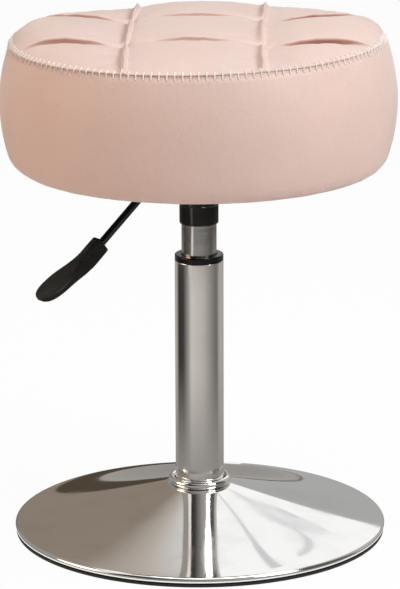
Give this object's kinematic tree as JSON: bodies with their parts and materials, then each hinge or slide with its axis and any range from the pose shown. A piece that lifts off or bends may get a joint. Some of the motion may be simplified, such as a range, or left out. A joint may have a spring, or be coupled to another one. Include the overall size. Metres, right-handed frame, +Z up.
{
  "type": "vanity stool",
  "caption": "Round padded stool with a tufted leather top on a swivelling gas-lift column, with a release lever and a round chromed trumpet base.",
  "frame": {"origin": "on the floor under the column's axis, with the seat at its lowest position", "axes": "+Z up along the column; the camera of the picture looks along +Y; the lever points to -X and -Y, 38 degrees from -X"},
  "size_m": [0.4024, 0.4024, 0.533],
  "materials": {
    "chrome": "polished",
    "satin_steel": "satin",
    "steel": "satin",
    "black_steel": "gloss",
    "black_plastic": "matte",
    "rubber": "matte",
    "leather": "satin",
    "plywood": "matte",
    "foam": "matte",
    "dust_cloth": "matte"
  },
  "bodies": {
    "base": {"base_shell": "chrome", "base_edge_ring": "rubber", "base_stiffener": "steel", "base_hub": "steel", "column_tube": "chrome", "column_trim_ring": "chrome", "column_guide_bush": "black_plastic", "column_end_plate": "steel", "bearing_washer_lower": "steel", "bearing_ball_cage": "steel"},
    "piston_rod": {"piston_rod": "chrome", "rod_retaining_clip": "steel", "bearing_washer_upper": "steel", "rod_bumper": "rubber", "piston": "steel"},
    "seat": {"gas_cylinder": "satin_steel", "cylinder_end_seal": "rubber", "valve_housing": "steel", "taper_socket": "black_steel", "seat_plate": "black_steel", "lever_bracket": "steel", "seat_bolt_1": "steel", "seat_bolt_2": "steel", "seat_bolt_3": "steel", "seat_bolt_4": "steel", "t_nut_1": "steel", "t_nut_2": "steel", "t_nut_3": "steel", "t_nut_4": "steel", "seat_board": "plywood", "dust_cover": "dust_cloth", "seat_foam": "foam", "seat_top_pad": "leather", "seat_side_cover": "leather"},
    "lever": {"lever_rod": "black_steel", "lever_handle": "black_plastic", "lever_trunnion": "steel"},
    "release_pin": {"release_pin": "steel"}
  },
  "joints": [
    {"name": "seat_swivel", "type": "hinge", "parent": "base", "child": "piston_rod", "pos_m": [0, 0, 0], "axis": [0, 0, 1], "continuous": true},
    {"name": "seat_lift", "type": "slide", "parent": "piston_rod", "child": "seat", "axis": [0, 0, 1], "range_m": [0, 0.12]},
    {"name": "lever_pivot", "type": "hinge", "parent": "seat", "child": "lever", "pos_m": [-0.0331, -0.02586, 0.3743], "axis": [-0.6157, 0.788, 0], "range_deg": [0, 4.5]},
    {"name": "release_pin_slide", "type": "slide", "parent": "seat", "child": "release_pin", "axis": [0, 0, -1], "range_m": [0, 0.0033], "stiffness_N_per_m": 300}
  ],
  "couplings": [
    {"joint": "release_pin_slide", "follows": "lever_pivot", "m_per_rad": 0.042}
  ]
}
